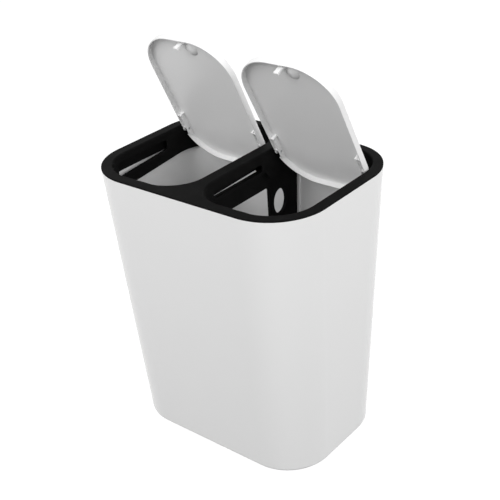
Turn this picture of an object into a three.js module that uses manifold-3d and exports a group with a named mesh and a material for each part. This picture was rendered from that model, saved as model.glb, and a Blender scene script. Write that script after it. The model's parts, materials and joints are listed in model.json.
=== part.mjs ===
// Double recycling bin: a tapered white bin with two compartments, a black rim frame that
// lifts off, and two sprung lids that open on their own hinges. Millimetres, +Z up.
// The origin is on the floor under the middle of the bin; -Y is the front, X runs along it.

import * as THREE from 'three';
import { mergeVertices } from 'three/addons/utils/BufferGeometryUtils.js';
import Module from 'manifold-3d';

const wasm = await Module();
wasm.setup();

// ---------------------------------------------------------------- driving dimensions

const GAP = 0.3; // air left between pieces that touch
const CORNER_STEPS = 12; // facets in each quarter round of a plan outline

// the bin
const HEIGHT = 458; // floor to the top of the rim frame
const TOP = { width: 400, depth: 295, radius: 87 }; // outline at the rim
const BASE = { width: 354, depth: 240, radius: 76 }; // outline at the floor
const WALL = 2.6;
const FLOOR = 3.2;
const BASE_FILLET = 6.3;
const FOOT_RING = 16; // width of the ring that the bin stands on
const FOOT_RECESS = 1.2; // how far the underside is raised inside that ring

// the rim frame; depths are measured down from the rim's top
const RIM_THICKNESS = 3;
const FLANGE = { thickness: 2, clearance: 0.6, depth: 33.5 };
const MOUTH = { outer: 181.5, inner: 11, front: -129.3, rear: 132, outerRadius: 66, innerRadius: 57 };
const SKIRT = 2;
const SKIRT_DEPTH = 46.5;
const SKIRT_DEEP = { front: -68, rear: 62, depth: 57.6 }; // lower edge of the outer sides
const SKIRT_SHALLOW = { front: -76, rear: 47, frontDepth: 36.9, rearDepth: 33.9 }; // of the inner sides
const SKIRT_RAMP = 9; // length of the slope between two skirt depths
const OUTER_SLOT = { front: -84, rear: 31, top: 13, frontBottom: 36.8, rearBottom: 28.6 };
const INNER_SLOT = { front: -76, rear: 39, top: 17, frontBottom: 30, rearBottom: 30 };
const SLOT_RADIUS = 5;
const SLOT_REACH = 7; // how far into the mouth a slot is cut, to pass the skirt where it starts to curve

// the divider and the rails that hold it
const PANEL = { thickness: 5, topDepth: 32.6, clearance: 0.8, neckDepth: 66, neckHalf: 137, chamfer: 9 };
const WINDOW = { half: 63, topDepth: 66.7, floorHeight: 110, radius: 8 };
const HAND_HOLE = { width: 32.4, height: 43.5, centreY: 89.4, centreDepth: 101.8 };
const RAIL = { thickness: 4, depth: 4.5, topDepth: 50 };

// the lids; both are the same moulding
const LID = {
  centre: 96, half: 83.4, front: -128.3, rear: 129, radius: 64, panel: 2.2, wall: 2, depth: 11,
};
const HINGE = { y: 75, depth: 6.5, pinRadius: 2, headRadius: 3.1 };
const LEFT_LID_OPEN = 65.7; // degrees from shut, as photographed
const RIGHT_LID_OPEN = 63;
const HOOK = { inner: 80.8, outer: 83.2, bore: 2.35, radius: 4.9, mouth: 70 };
const HINGE_NOTCH = { front: 68, rear: 86, inset: 6 };
const BRACKET = { inner: 74.2, outer: 76.2, front: 43, rear: 88, depth: 11, round: 5, knob: 2.3 };
const SLIT = { front: 45.4, rear: 68.6, wall: 2.2 }; // between two cross walls
const POST = {
  offset: 3.5, half: 4, front: -122.2, rear: -118.7, depth: 21.2, head: 4, barb: 0.8, gusset: 5.5,
};
const DIMPLE = { offset: 14, y: -107, radius: 12, depth: 4, skin: 2 };

// the push latches under the front of the frame
const LATCH = { half: 12.6, front: -129, rear: -111.8, top: 12, bottom: 44, wall: 2.2, sole: 2 };
const CLAW = { top: 15, bottom: 27, slotHalf: 6.8, slotBottom: 22.2 };

// the springs
const TORSION = { radius: 2.8, wire: 0.4, turns: 4, near: 3.4, far: 8.2, leg: 10 };
const COIL = { radius: 4, wire: 0.5, turns: 7 };
const CURL_STEPS = 8;
const WIRE_SIDES = 5;

// ---------------------------------------------------------------- materials

function plastic(name, color, roughness) {
  return new THREE.MeshStandardMaterial({ name, color, roughness, metalness: 0 });
}
const whitePlastic = plastic('white_plastic', 0xf1f1f0, 0.22);
const lidPlastic = plastic('lid_plastic', 0xf3f3f2, 0.3);
const blackPlastic = plastic('black_plastic', 0x1b1b1c, 0.5);
const latchPlastic = plastic('latch_plastic', 0xd9d9d6, 0.45);
const steel = new THREE.MeshStandardMaterial({
  name: 'steel', color: 0xb4b6b8, roughness: 0.35, metalness: 1,
});

// ---------------------------------------------------------------- shapes and solids

function toSolid(geometry) {
  const bare = geometry.clone();
  bare.deleteAttribute('normal');
  bare.deleteAttribute('uv');
  const merged = mergeVertices(bare, 1e-4);
  return new wasm.Manifold(new wasm.Mesh({
    numProp: 3,
    vertProperties: new Float32Array(merged.attributes.position.array),
    triVerts: new Uint32Array(merged.index.array),
  }));
}

function toGeometry(solid) {
  const mesh = solid.getMesh();
  const geometry = new THREE.BufferGeometry();
  geometry.setAttribute('position', new THREE.BufferAttribute(mesh.vertProperties, 3));
  geometry.setIndex(new THREE.BufferAttribute(mesh.triVerts, 1));
  geometry.computeVertexNormals();
  return geometry;
}

const joined = (...solids) => solids.reduce((sum, solid) => sum.add(solid));
const zAt = (depth) => HEIGHT - depth;
const ordered = (a, b) => [Math.min(a, b), Math.max(a, b)];

function block(x0, x1, y0, y1, z0, z1) {
  const geometry = new THREE.BoxGeometry(Math.abs(x1 - x0), y1 - y0, z1 - z0);
  return toSolid(geometry.translate((x0 + x1) / 2, (y0 + y1) / 2, (z0 + z1) / 2));
}

// a round bar along X
function barX(x0, x1, y, z, radius, sides = 20) {
  const geometry = new THREE.CylinderGeometry(radius, radius, Math.abs(x1 - x0), sides);
  return toSolid(geometry.rotateZ(Math.PI / 2).translate((x0 + x1) / 2, y, z));
}

// a round bar along Z
function barZ(x, y, z0, z1, radius, sides = 16) {
  const geometry = new THREE.CylinderGeometry(radius, radius, z1 - z0, sides);
  return toSolid(geometry.rotateX(Math.PI / 2).translate(x, y, (z0 + z1) / 2));
}

function ball(x, y, z, radius) {
  const geometry = new THREE.SphereGeometry(radius, 28, 30);
  return toSolid(geometry.rotateX(Math.PI / 2).translate(x, y, z));
}

// a shape drawn in Y and Z, carried along X
function acrossX(shape, x0, x1) {
  const geometry = new THREE.ExtrudeGeometry(shape, {
    depth: x1 - x0,
    bevelEnabled: false,
    curveSegments: 10,
  });
  const turn = new THREE.Matrix4().makeBasis(
    new THREE.Vector3(0, 1, 0), new THREE.Vector3(0, 0, 1), new THREE.Vector3(1, 0, 0));
  return toSolid(geometry.applyMatrix4(turn).translate(x0, 0, 0));
}

// a shape drawn in X and Z, carried along Y
function acrossY(shape, y0, y1) {
  const geometry = new THREE.ExtrudeGeometry(shape, { depth: y1 - y0, bevelEnabled: false });
  return toSolid(geometry.rotateX(Math.PI / 2).translate(0, y1, 0));
}

const polygon = (points) => new THREE.Shape(points.map(([x, y]) => new THREE.Vector2(x, y)));

// a polygon with every corner rounded
function softPolygon(points, radius) {
  const shape = new THREE.Shape();
  const corners = points.map(([x, y]) => new THREE.Vector2(x, y));
  corners.forEach((corner, i) => {
    const before = corners[(i + corners.length - 1) % corners.length];
    const after = corners[(i + 1) % corners.length];
    const start = corner.clone().add(before.clone().sub(corner).setLength(radius));
    const end = corner.clone().add(after.clone().sub(corner).setLength(radius));
    if (i === 0) shape.moveTo(start.x, start.y);
    else shape.lineTo(start.x, start.y);
    shape.quadraticCurveTo(corner.x, corner.y, end.x, end.y);
  });
  shape.closePath();
  return shape;
}

// points of a rounded rectangle, anticlockwise from the front right corner
function roundedLoop(x0, x1, y0, y1, leftRadius, rightRadius = leftRadius) {
  const corners = [
    [x1 - rightRadius, y0 + rightRadius, rightRadius],
    [x1 - rightRadius, y1 - rightRadius, rightRadius],
    [x0 + leftRadius, y1 - leftRadius, leftRadius],
    [x0 + leftRadius, y0 + leftRadius, leftRadius],
  ];
  return corners.flatMap(([cx, cy, radius], quarter) =>
    Array.from({ length: CORNER_STEPS + 1 }, (_, step) => {
      const angle = (quarter - 1 + step / CORNER_STEPS) * Math.PI / 2;
      return [cx + radius * Math.cos(angle), cy + radius * Math.sin(angle)];
    }));
}

// a closed solid through a stack of convex loops: [points, height] from the bottom up
function stack(levels) {
  const count = levels[0][0].length;
  const positions = levels.flatMap(([points, z]) => points.flatMap(([x, y]) => [x, y, z]));
  const faces = [];
  for (let level = 0; level + 1 < levels.length; level++) {
    for (let i = 0; i < count; i++) {
      const a = level * count + i;
      const b = level * count + (i + 1) % count;
      faces.push(a, b, b + count, a, b + count, a + count);
    }
  }
  const top = (levels.length - 1) * count;
  for (let i = 1; i + 1 < count; i++) {
    faces.push(0, i + 1, i, top, top + i, top + i + 1);
  }
  const geometry = new THREE.BufferGeometry();
  geometry.setAttribute('position', new THREE.Float32BufferAttribute(positions, 3));
  geometry.setIndex(faces);
  return toSolid(geometry);
}

// the bin's outline at height z, drawn in from its outside by inset
function binLoop(z, inset) {
  const share = z / HEIGHT;
  const width = THREE.MathUtils.lerp(BASE.width, TOP.width, share) - 2 * inset;
  const depth = THREE.MathUtils.lerp(BASE.depth, TOP.depth, share) - 2 * inset;
  const radius = THREE.MathUtils.lerp(BASE.radius, TOP.radius, share) - inset;
  return roundedLoop(-width / 2, width / 2, -depth / 2, depth / 2, radius);
}

// the Y of the bin's inner face at height z
function innerWallY(z) {
  return THREE.MathUtils.lerp(BASE.depth, TOP.depth, z / HEIGHT) / 2 - WALL;
}

// a filleted foot under a straight tapered side
function binLevels(floor, top, inset, fillet) {
  const steps = 4;
  const rounds = Array.from({ length: steps + 1 }, (_, step) => {
    const angle = step / steps * Math.PI / 2;
    const z = floor + fillet * (1 - Math.cos(angle));
    return [binLoop(z, inset + fillet * (1 - Math.sin(angle))), z];
  });
  return [...rounds, [binLoop(top, inset), top]];
}

// one unbroken wire through the points of a curve
function wire(points, radius) {
  const path = new THREE.CatmullRomCurve3(points, false, 'centripetal');
  const section = new THREE.Shape();
  section.absarc(0, 0, radius, 0, Math.PI * 2);
  const geometry = new THREE.ExtrudeGeometry(section, {
    extrudePath: path,
    steps: points.length - 1,
    curveSegments: WIRE_SIDES,
    bevelEnabled: false,
  });
  return toSolid(geometry);
}

// ---------------------------------------------------------------- the bin and its divider

function outerBin() {
  const top = zAt(RIM_THICKNESS) - GAP;
  let bin = stack(binLevels(0, top, 0, BASE_FILLET));
  bin = bin.subtract(stack(binLevels(FLOOR, HEIGHT, WALL, BASE_FILLET)));
  bin = bin.subtract(stack([
    [binLoop(0, FOOT_RING), -1],
    [binLoop(0, FOOT_RING), FOOT_RECESS],
  ]));
  const railTop = zAt(RAIL.topDepth);
  const railBottom = FLOOR - 0.5;
  const nearPanel = PANEL.thickness / 2 + 0.6;
  for (const end of [-1, 1]) {
    const rail = polygon([
      [end * (innerWallY(railBottom) - RAIL.depth), railBottom],
      [end * (innerWallY(railBottom) - 1), railBottom],
      [end * (innerWallY(railTop) + 1), railTop],
      [end * (innerWallY(railTop) - RAIL.depth), railTop],
    ]);
    bin = bin.add(acrossX(rail, nearPanel, nearPanel + RAIL.thickness));
    bin = bin.add(acrossX(rail, -nearPanel - RAIL.thickness, -nearPanel));
  }
  return bin;
}

function dividerPanel() {
  const bottom = FLOOR + GAP;
  const shoulder = zAt(PANEL.neckDepth);
  const edge = (z) => innerWallY(z) - PANEL.clearance;
  const right = [
    [edge(bottom) - PANEL.chamfer, bottom],
    [edge(bottom + PANEL.chamfer), bottom + PANEL.chamfer],
    [edge(shoulder), shoulder],
    [PANEL.neckHalf, shoulder],
    [PANEL.neckHalf, zAt(PANEL.topDepth)],
  ];
  const left = right.map(([y, z]) => [-y, z]).reverse();
  const outline = polygon([...right, ...left]);
  const windowTop = zAt(WINDOW.topDepth);
  outline.holes.push(softPolygon([
    [-WINDOW.half, WINDOW.floorHeight],
    [WINDOW.half, WINDOW.floorHeight],
    [WINDOW.half, windowTop],
    [-WINDOW.half, windowTop],
  ], WINDOW.radius));
  for (const side of [-1, 1]) {
    const hole = new THREE.Path();
    hole.absellipse(side * HAND_HOLE.centreY, zAt(HAND_HOLE.centreDepth),
      HAND_HOLE.width / 2, HAND_HOLE.height / 2, 0, Math.PI * 2);
    outline.holes.push(hole);
  }
  return acrossX(outline, -PANEL.thickness / 2, PANEL.thickness / 2);
}

// ---------------------------------------------------------------- the rim frame

// the outline of one mouth, grown outwards by grow; side is -1 for the left
function mouthLoop(side, grow) {
  const x0 = side < 0 ? -MOUTH.outer : MOUTH.inner;
  const x1 = side < 0 ? -MOUTH.inner : MOUTH.outer;
  const leftRadius = side < 0 ? MOUTH.outerRadius : MOUTH.innerRadius;
  const rightRadius = side < 0 ? MOUTH.innerRadius : MOUTH.outerRadius;
  return roundedLoop(x0 - grow, x1 + grow, MOUTH.front - grow, MOUTH.rear + grow,
    leftRadius + grow, rightRadius + grow);
}

function slotCut(slot, x0, x1) {
  const shape = softPolygon([
    [slot.front, zAt(slot.frontBottom)],
    [slot.rear, zAt(slot.rearBottom)],
    [slot.rear, zAt(slot.top)],
    [slot.front, zAt(slot.top)],
  ], SLOT_RADIUS);
  return acrossX(shape, x0, x1);
}

// what is cut off below the skirts: level, but lower along the outer sides and higher along the bar
function skirtTrim() {
  const floor = zAt(SKIRT_DEEP.depth + 5);
  const level = zAt(SKIRT_DEPTH);
  const reach = TOP.depth / 2;
  const outerEdge = polygon([
    [-reach, floor], [reach, floor], [reach, level], [SKIRT_DEEP.rear, level],
    [SKIRT_DEEP.front, zAt(SKIRT_DEEP.depth)], [SKIRT_DEEP.front - SKIRT_RAMP, level], [-reach, level],
  ]);
  const innerEdge = polygon([
    [SKIRT_SHALLOW.front - SKIRT_RAMP, level - 1], [SKIRT_SHALLOW.rear + SKIRT_RAMP, level - 1],
    [SKIRT_SHALLOW.rear, zAt(SKIRT_SHALLOW.rearDepth)], [SKIRT_SHALLOW.front, zAt(SKIRT_SHALLOW.frontDepth)],
  ]);
  const inboard = MOUTH.outer - 10;
  const barSide = MOUTH.inner + SLOT_REACH;
  return joined(
    acrossX(outerEdge, -TOP.width / 2, TOP.width / 2),
    block(-inboard, inboard, -reach, reach, floor, level),
    acrossX(innerEdge, -barSide, barSide));
}

function rimFrame() {
  const plateBottom = zAt(RIM_THICKNESS);
  const skirtBottom = zAt(SKIRT_DEEP.depth);
  const flangeBottom = zAt(FLANGE.depth);
  const flangeInset = WALL + FLANGE.clearance;
  let frame = stack([[binLoop(HEIGHT, 0), plateBottom], [binLoop(HEIGHT, 0), HEIGHT]]);
  const flange = stack([
    [binLoop(flangeBottom, flangeInset), flangeBottom],
    [binLoop(plateBottom, flangeInset), plateBottom + 1],
  ]).subtract(stack([
    [binLoop(flangeBottom, flangeInset + FLANGE.thickness), flangeBottom - 1],
    [binLoop(plateBottom, flangeInset + FLANGE.thickness), plateBottom + 2],
  ]));
  frame = frame.add(flange);
  const mouthBlock = (side, grow, low, high) =>
    stack([[mouthLoop(side, grow), low], [mouthLoop(side, grow), high]]);
  for (const side of [-1, 1]) {
    frame = frame.add(mouthBlock(side, SKIRT, skirtBottom, plateBottom + 1));
  }
  for (const side of [-1, 1]) {
    frame = frame.subtract(mouthBlock(side, 0, skirtBottom - 1, HEIGHT + 1));
  }
  frame = frame.subtract(skirtTrim());
  const pinHole = HINGE.pinRadius + GAP;
  for (const side of [-1, 1]) {
    const outerFaces = ordered(side * (MOUTH.outer - SLOT_REACH), side * (MOUTH.outer + SKIRT + 2));
    const innerFaces = ordered(side * (MOUTH.inner - SKIRT - 2), side * (MOUTH.inner + SLOT_REACH));
    frame = frame.subtract(slotCut(OUTER_SLOT, ...outerFaces));
    frame = frame.subtract(slotCut(INNER_SLOT, ...innerFaces));
    frame = frame.subtract(barX(...outerFaces, HINGE.y, zAt(HINGE.depth), pinHole));
    frame = frame.subtract(barX(...innerFaces, HINGE.y, zAt(HINGE.depth), pinHole));
  }
  return frame;
}

// ---------------------------------------------------------------- a lid, drawn shut

function lidLoop(centre, inset) {
  return roundedLoop(centre - LID.half + inset, centre + LID.half - inset,
    LID.front + inset, LID.rear - inset, LID.radius - inset);
}

// the open clip that snaps over a hinge pin, with the web that carries it
function hingeClip(x0, x1) {
  const axisZ = zAt(HINGE.depth);
  const top = zAt(LID.panel) + 0.5;
  const web = block(x0, x1, HINGE.y - HOOK.radius - 9, HINGE.y, axisZ - HOOK.radius + 1, top);
  const ring = barX(x0, x1, HINGE.y, axisZ, HOOK.radius, 24);
  const bore = barX(x0 - 1, x1 + 1, HINGE.y, axisZ, HOOK.bore);
  const half = THREE.MathUtils.degToRad(HOOK.mouth / 2);
  const facing = THREE.MathUtils.degToRad(LEFT_LID_OPEN - 90);
  const reach = 2 * HOOK.radius;
  const wedge = polygon([
    [HINGE.y, axisZ],
    [HINGE.y + reach * Math.cos(facing - half), axisZ + reach * Math.sin(facing - half)],
    [HINGE.y + reach * Math.cos(facing + half), axisZ + reach * Math.sin(facing + half)],
  ]);
  return joined(web, ring).subtract(bore).subtract(acrossX(wedge, x0 - 1, x1 + 1));
}

function latchPost(x) {
  const top = zAt(LID.panel) + 0.5;
  const tip = zAt(POST.depth);
  const stem = block(x - POST.half, x + POST.half, POST.front, POST.rear, tip, top);
  const head = block(x - POST.half, x + POST.half, POST.front - POST.barb, POST.rear + POST.barb,
    tip + 0.8, tip + POST.head);
  const gusset = polygon([
    [x + POST.half - 1, top], [x + POST.half + POST.gusset, top],
    [x + POST.half, zAt(13)], [x + POST.half - 1, zAt(13)],
  ]);
  return joined(stem, head, acrossY(gusset, POST.front + 0.6, POST.rear - 0.6));
}

// the rib beside a hinge, rounded at its lower rear corner, with a knob at its front end
function hingeBracket(x0, x1) {
  const top = zAt(LID.panel) + 0.5;
  const low = zAt(BRACKET.depth);
  const { front, rear, round } = BRACKET;
  const rib = polygon([
    [front, top], [front, low], [rear - round, low],
    [rear - 0.3 * round, low + 0.3 * round], [rear, low + round], [rear, top],
  ]);
  return joined(acrossX(rib, x0, x1), barZ((x0 + x1) / 2, front, low - 1, top, BRACKET.knob));
}

function lid(side) {
  const centre = side * LID.centre;
  const panelBottom = zAt(LID.panel);
  const wallBottom = zAt(LID.depth);
  let body = stack([[lidLoop(centre, 0), wallBottom], [lidLoop(centre, 0), HEIGHT]]);
  body = body.subtract(stack([
    [lidLoop(centre, LID.wall), wallBottom - 1],
    [lidLoop(centre, LID.wall), panelBottom],
  ]));
  for (const edge of [-1, 1]) {
    const across = (a, b) => ordered(centre + edge * a, centre + edge * b);
    body = body.subtract(block(...across(LID.half - HINGE_NOTCH.inset, LID.half + 1),
      HINGE_NOTCH.front, HINGE_NOTCH.rear, wallBottom - 1, panelBottom));
    body = body.add(hingeBracket(...across(BRACKET.inner, BRACKET.outer)));
    body = body.add(block(...across(BRACKET.outer - 1, LID.half - 1),
      SLIT.front - SLIT.wall, SLIT.rear + SLIT.wall, zAt(BRACKET.depth), panelBottom + 0.5));
    body = body.subtract(block(...across(BRACKET.outer, LID.half - LID.wall),
      SLIT.front, SLIT.rear, zAt(BRACKET.depth) - 1, HEIGHT + 1));
    body = body.add(hingeClip(...across(HOOK.inner, HOOK.outer)));
    // room for the pin, where it crosses the bracket
    body = body.subtract(barX(...across(BRACKET.inner - 1, BRACKET.outer + 1),
      HINGE.y, zAt(HINGE.depth), HOOK.bore));
  }
  body = body.add(latchPost(centre + POST.offset));
  const round = (DIMPLE.radius ** 2 + DIMPLE.depth ** 2) / (2 * DIMPLE.depth);
  const dimpleX = centre + DIMPLE.offset;
  const ballZ = panelBottom - DIMPLE.depth + round;
  const reach = DIMPLE.radius + 2;
  const cap = ball(dimpleX, DIMPLE.y, ballZ, round).intersect(
    block(dimpleX - reach, dimpleX + reach, DIMPLE.y - reach, DIMPLE.y + reach,
      panelBottom - 2 * DIMPLE.depth, panelBottom + 0.5));
  return body.add(cap).subtract(ball(dimpleX, DIMPLE.y, ballZ + DIMPLE.skin, round));
}

// ---------------------------------------------------------------- hinge pins and springs

function outerPin(side) {
  const axisZ = zAt(HINGE.depth);
  const tip = side * (LID.centre + BRACKET.inner + 0.5);
  const neck = side * (MOUTH.outer + SKIRT + GAP);
  return joined(
    barX(tip, neck, HINGE.y, axisZ, HINGE.pinRadius),
    barX(neck, neck + side * 2, HINGE.y, axisZ, HINGE.headRadius));
}

function springShaft(side) {
  const axisZ = zAt(HINGE.depth);
  const tip = side * (LID.centre - BRACKET.inner - 0.5);
  const head = side * (TORSION.near - 1);
  return joined(
    barX(tip, head, HINGE.y, axisZ, HINGE.pinRadius),
    barX(head, side * (TORSION.near - 2.5), HINGE.y, axisZ, HINGE.headRadius));
}

function torsionSpring(side) {
  const axisZ = zAt(HINGE.depth);
  const steps = TORSION.turns * CURL_STEPS;
  const points = [];
  for (let i = 0; i <= steps; i++) {
    const angle = -Math.PI / 2 + i / CURL_STEPS * Math.PI * 2;
    const x = THREE.MathUtils.lerp(TORSION.near, TORSION.far, i / steps);
    points.push(new THREE.Vector3(side * x,
      HINGE.y + TORSION.radius * Math.cos(angle), axisZ + TORSION.radius * Math.sin(angle)));
  }
  const last = points[points.length - 1];
  points.push(new THREE.Vector3(last.x, HINGE.y - TORSION.leg / 2, last.z));
  points.push(new THREE.Vector3(last.x, HINGE.y - TORSION.leg, last.z));
  return wire(points, TORSION.wire);
}

// ---------------------------------------------------------------- push latches

const latchX = (side) => side * LID.centre + POST.offset;

function latchHousing(side) {
  const x = latchX(side);
  const inner = LATCH.half - LATCH.wall;
  return block(x - LATCH.half, x + LATCH.half, LATCH.front, LATCH.rear, zAt(LATCH.bottom), zAt(LATCH.top))
    .subtract(block(x - inner, x + inner, LATCH.front + LATCH.wall, LATCH.rear - LATCH.wall,
      zAt(LATCH.bottom - LATCH.sole), zAt(LATCH.top) + 1));
}

function latchClaw(side) {
  const x = latchX(side);
  const half = LATCH.half - LATCH.wall - GAP;
  const front = LATCH.front + LATCH.wall + GAP;
  const rear = LATCH.rear - LATCH.wall - GAP;
  return block(x - half, x + half, front, rear, zAt(CLAW.bottom), zAt(CLAW.top))
    .subtract(block(x - CLAW.slotHalf, x + CLAW.slotHalf, front - 1, rear + 1,
      zAt(CLAW.slotBottom), zAt(CLAW.top) + 1));
}

function latchSpring(side) {
  const steps = COIL.turns * CURL_STEPS;
  const low = zAt(LATCH.bottom - LATCH.sole) + GAP + COIL.wire;
  const high = zAt(CLAW.bottom) - GAP - COIL.wire;
  const y = (LATCH.front + LATCH.rear) / 2;
  const points = Array.from({ length: steps + 1 }, (_, i) => {
    const angle = i / CURL_STEPS * Math.PI * 2;
    return new THREE.Vector3(latchX(side) + COIL.radius * Math.cos(angle),
      y + COIL.radius * Math.sin(angle), THREE.MathUtils.lerp(low, high, i / steps));
  });
  return wire(points, COIL.wire);
}

// ---------------------------------------------------------------- the assembly

const bin = new THREE.Group();

function place(parent, name, solid, material) {
  const mesh = new THREE.Mesh(toGeometry(solid), material);
  mesh.name = name;
  parent.add(mesh);
  return mesh;
}

place(bin, 'outer_bin', outerBin(), whitePlastic);
place(bin, 'divider_panel', dividerPanel(), blackPlastic);

const frame = new THREE.Group();
bin.add(frame);
place(frame, 'rim_frame', rimFrame(), blackPlastic);

for (const [word, side, open] of [['left', -1, LEFT_LID_OPEN], ['right', 1, RIGHT_LID_OPEN]]) {
  // the lid turns about its pins; drawn shut, it is swung open here
  const swing = new THREE.Group();
  swing.position.set(0, HINGE.y, zAt(HINGE.depth));
  swing.rotation.x = -THREE.MathUtils.degToRad(open);
  frame.add(swing);
  for (const [name, solid, material] of [
    [`${word}_lid`, lid(side), lidPlastic],
    [`${word}_lid_spring_shaft`, springShaft(side), steel],
  ]) {
    place(swing, name, solid, material).position.set(0, -HINGE.y, -zAt(HINGE.depth));
  }
  place(frame, `${word}_lid_outer_pin`, outerPin(side), steel);
  place(frame, `${word}_lid_torsion_spring`, torsionSpring(side), steel);
  place(frame, `${word}_latch_housing`, latchHousing(side), blackPlastic);
  place(frame, `${word}_latch_claw`, latchClaw(side), latchPlastic);
  place(frame, `${word}_latch_spring`, latchSpring(side), steel);
}

export default bin;
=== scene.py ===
"""Double recycling bin: the finished look of every piece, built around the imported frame."""

import json
import math

import bmesh
import bpy
from bpy.props import FloatProperty, FloatVectorProperty, PointerProperty
from bpy.types import Operator, Panel, PropertyGroup
from mathutils import Matrix, Vector


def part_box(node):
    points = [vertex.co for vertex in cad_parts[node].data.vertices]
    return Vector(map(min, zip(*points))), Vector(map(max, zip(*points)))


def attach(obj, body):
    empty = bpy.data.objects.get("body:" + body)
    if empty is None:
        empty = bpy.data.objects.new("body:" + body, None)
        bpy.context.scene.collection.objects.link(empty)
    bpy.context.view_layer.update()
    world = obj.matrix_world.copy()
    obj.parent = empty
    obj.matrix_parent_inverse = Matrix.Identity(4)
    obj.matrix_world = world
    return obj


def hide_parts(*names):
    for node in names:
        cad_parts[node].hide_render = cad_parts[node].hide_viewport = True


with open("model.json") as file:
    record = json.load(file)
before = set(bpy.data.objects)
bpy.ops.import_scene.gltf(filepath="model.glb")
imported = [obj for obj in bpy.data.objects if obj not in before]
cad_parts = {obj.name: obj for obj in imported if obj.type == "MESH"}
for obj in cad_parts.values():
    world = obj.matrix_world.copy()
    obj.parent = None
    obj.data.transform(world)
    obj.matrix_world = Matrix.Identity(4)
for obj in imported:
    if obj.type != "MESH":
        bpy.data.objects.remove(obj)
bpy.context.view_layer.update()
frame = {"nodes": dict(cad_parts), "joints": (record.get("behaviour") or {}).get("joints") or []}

bl_info = {
    "name": "Double Recycling Bin",
    "version": (1, 0, 0),
    "blender": (4, 5, 0),
    "location": "3D View > Sidebar > Bin",
    "description": "Builds a two-compartment recycling bin with sprung lids around its frame",
    "category": "Object",
}

# ---------------------------------------------------------------- where the frame puts things

MM = 0.001
JOINTS = {joint["name"]: joint for joint in frame["joints"]}
RIM_LOW, RIM_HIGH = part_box("rim_frame")
HEIGHT = RIM_HIGH.z
HINGE_Y, HINGE_Z = JOINTS["right_lid_hinge"]["pos_m"][1:]
LID_CENTRE = JOINTS["right_lid_hinge"]["pos_m"][0]
SIDES = {"left": -1, "right": 1}

# the bin's outline at the floor and at the rim: width, depth, corner radius
BASE_OUTLINE = (354 * MM, 240 * MM, 76 * MM)
TOP_OUTLINE = (RIM_HIGH.x - RIM_LOW.x, RIM_HIGH.y - RIM_LOW.y, 87 * MM)
BIN_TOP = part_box("outer_bin")[1].z
FOOT_RING, FOOT_SLOPE, FOOT_RECESS = 16 * MM, 0.2 * MM, 1.2 * MM

# the two mouths of the rim frame and their skirts
MOUTH_OUTER, MOUTH_INNER = 181.5 * MM, 11 * MM
MOUTH_FRONT, MOUTH_REAR = -129.3 * MM, 132 * MM
MOUTH_OUTER_RADIUS, MOUTH_INNER_RADIUS = 66 * MM, 57 * MM
SKIRT, SKIRT_DEPTH, SKIRT_DEEPEST = 2 * MM, 46.5 * MM, HEIGHT - RIM_LOW.z
SKIRT_RAMP = (-77 * MM, -68 * MM, 62 * MM)
SKIRT_INBOARD = MOUTH_OUTER - 10 * MM  # the skirt is deepest only further out than this
SHALLOW_RAMP, SHALLOW_DEPTHS = (-85 * MM, -76 * MM, 47 * MM, 56 * MM), (36.9 * MM, 33.9 * MM)
FLANGE, FLANGE_INSET, FLANGE_DEPTH = 2 * MM, 3.2 * MM, 33.5 * MM
OUTER_SLOT = [(-84 * MM, 36.8 * MM), (31 * MM, 28.6 * MM), (31 * MM, 13 * MM), (-84 * MM, 13 * MM)]
INNER_SLOT = [(-76 * MM, 30 * MM), (39 * MM, 30 * MM), (39 * MM, 17 * MM), (-76 * MM, 17 * MM)]
SLOT_RADIUS, SLOT_REACH, SLOT_PAST = 5 * MM, 7 * MM, 2 * MM
PIN_HOLE = 2.3 * MM

# the divider, its window, its hand holes and the rails that hold it
PANEL_HALF, PANEL_TOP, PANEL_CLEARANCE = 2.5 * MM, 32.6 * MM, 0.8 * MM
PANEL_FLOOR, PANEL_SHOULDER, PANEL_NECK, PANEL_CHAMFER = 3.5 * MM, 66 * MM, 137 * MM, 9 * MM
WINDOW_HALF, WINDOW_TOP, WINDOW_FLOOR, WINDOW_RADIUS = 63 * MM, 66.7 * MM, 110 * MM, 8 * MM
HAND_HOLE, HAND_HOLE_Y, HAND_HOLE_DEPTH = (16.2 * MM, 21.75 * MM), 89.4 * MM, 101.8 * MM
RAIL, RAIL_GAP, RAIL_DEPTH, RAIL_TOP = 4 * MM, 0.6 * MM, 4.5 * MM, 50 * MM

# a lid drawn shut about X 0; both lids are the same moulding
LID_HALF, LID_FRONT, LID_REAR, LID_RADIUS = 83.4 * MM, -128.3 * MM, 129 * MM, 64 * MM
LID_PANEL, LID_WALL, LID_DEPTH = 2.2 * MM, 2 * MM, 11 * MM
CLIP, CLIP_BORE, CLIP_RADIUS = (80.8 * MM, 83.2 * MM), 2.35 * MM, 4.9 * MM
CLIP_MOUTH, CLIP_WEB = math.radians(70), 9 * MM
NOTCH, NOTCH_INSET = (68 * MM, 86 * MM), 6 * MM
BRACKET, BRACKET_ENDS = (74.2 * MM, 76.2 * MM), (43 * MM, 88 * MM)
BRACKET_ROUND, BRACKET_STEP = 5 * MM, 0.3  # the rear corner's size, and how far its middle is cut
KNOB, KNOB_DROP, KNOB_EDGE = 2.3 * MM, 1 * MM, 0.8 * MM
SLIT, SLIT_ENDS, SLIT_WALL = (76.2 * MM, 81.4 * MM), (45.4 * MM, 68.6 * MM), 2.2 * MM
POST_X, POST_HALF, POST, POST_DEPTH = 3.5 * MM, 4 * MM, (-122.2 * MM, -118.7 * MM), 21.2 * MM
POST_HEAD, POST_TIP, POST_BARB = 4 * MM, 0.8 * MM, 0.8 * MM
GUSSET, GUSSET_DEPTH, GUSSET_INSET = 5.5 * MM, 13 * MM, 0.6 * MM
DIMPLE_X, DIMPLE_Y, DIMPLE_RADIUS = 14 * MM, -107 * MM, 12 * MM
DIMPLE_DEPTH, DIMPLE_SKIN = 4 * MM, 2 * MM
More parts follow.
